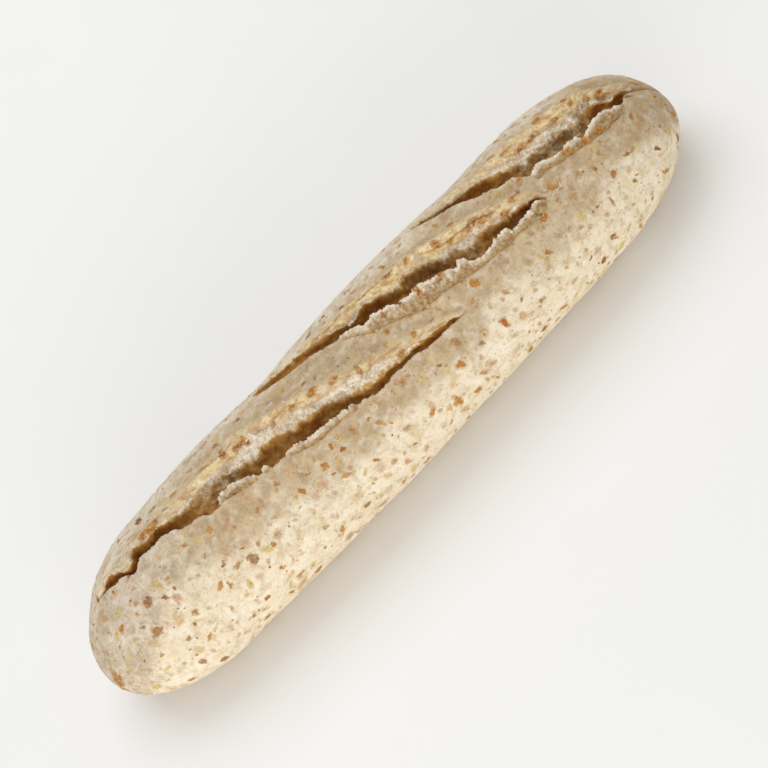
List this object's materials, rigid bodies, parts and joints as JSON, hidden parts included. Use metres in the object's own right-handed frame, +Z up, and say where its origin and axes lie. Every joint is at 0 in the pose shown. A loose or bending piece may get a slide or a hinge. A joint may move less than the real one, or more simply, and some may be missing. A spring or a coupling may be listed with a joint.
{
  "type": "wholemeal baguette",
  "caption": "Whole part-baked wholemeal baguette with rounded ends, a flat base, long slanting slashes opened along the top and bran flakes in its crust.",
  "frame": {"origin": "centre of the loaf's footprint, on the flat base it rests on", "axes": "+X along the loaf, +Z up out of the slashed crown, -Y the side that the lips of the slashes are on"},
  "size_m": [0.26, 0.0596, 0.0497],
  "materials": {
    "crust": "matte pale cream part-baked crust with orange-brown bran flakes and torn crumb in the slashes"
  },
  "bodies": {
    "root": {"baguette": "crust"}
  },
  "joints": []
}
